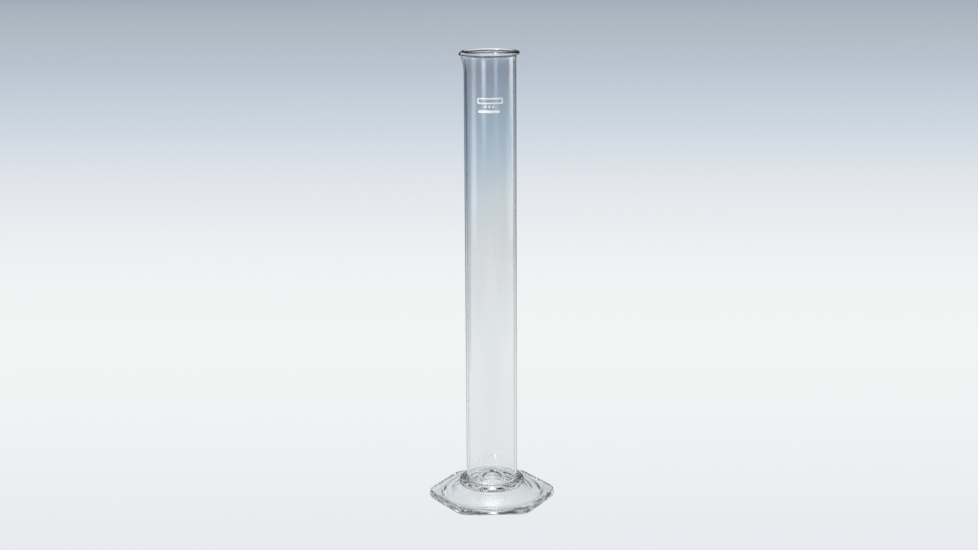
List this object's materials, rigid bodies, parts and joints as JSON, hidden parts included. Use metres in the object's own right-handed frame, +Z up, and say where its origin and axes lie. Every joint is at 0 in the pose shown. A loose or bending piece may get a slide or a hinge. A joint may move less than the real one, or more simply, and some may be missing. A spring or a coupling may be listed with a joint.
{
  "type": "glass cylinder jar",
  "caption": "Tall clear glass laboratory cylinder with a beaded pouring rim, a domed bottom, a sealing collar and a hexagonal foot.",
  "frame": {"origin": "centre of the foot's contact plane, on the tube's axis", "axes": "+Z up along the tube's axis, -X towards the pouring spout, -Y the side with the white marking"},
  "size_m": [0.1002, 0.0914, 0.356],
  "materials": {
    "tube_glass": "clear drawn borosilicate glass, polished",
    "rim_glass": "clear flame-polished glass",
    "floor_glass": "clear flame-worked glass",
    "collar_glass": "clear flame-worked glass, slightly uneven",
    "foot_glass": "clear pressed glass with a faint green-grey cast at its edges",
    "white_enamel": "fired white enamel, opaque, satin"
  },
  "bodies": {
    "root": {"glass_tube": "tube_glass", "pouring_rim": "rim_glass", "tube_floor": "floor_glass", "sealing_collar": "collar_glass", "hexagonal_foot": "foot_glass", "enamel_frame": "white_enamel", "enamel_dot_left": "white_enamel", "enamel_dot_middle": "white_enamel", "enamel_dot_right": "white_enamel", "enamel_bar": "white_enamel"}
  },
  "joints": []
}
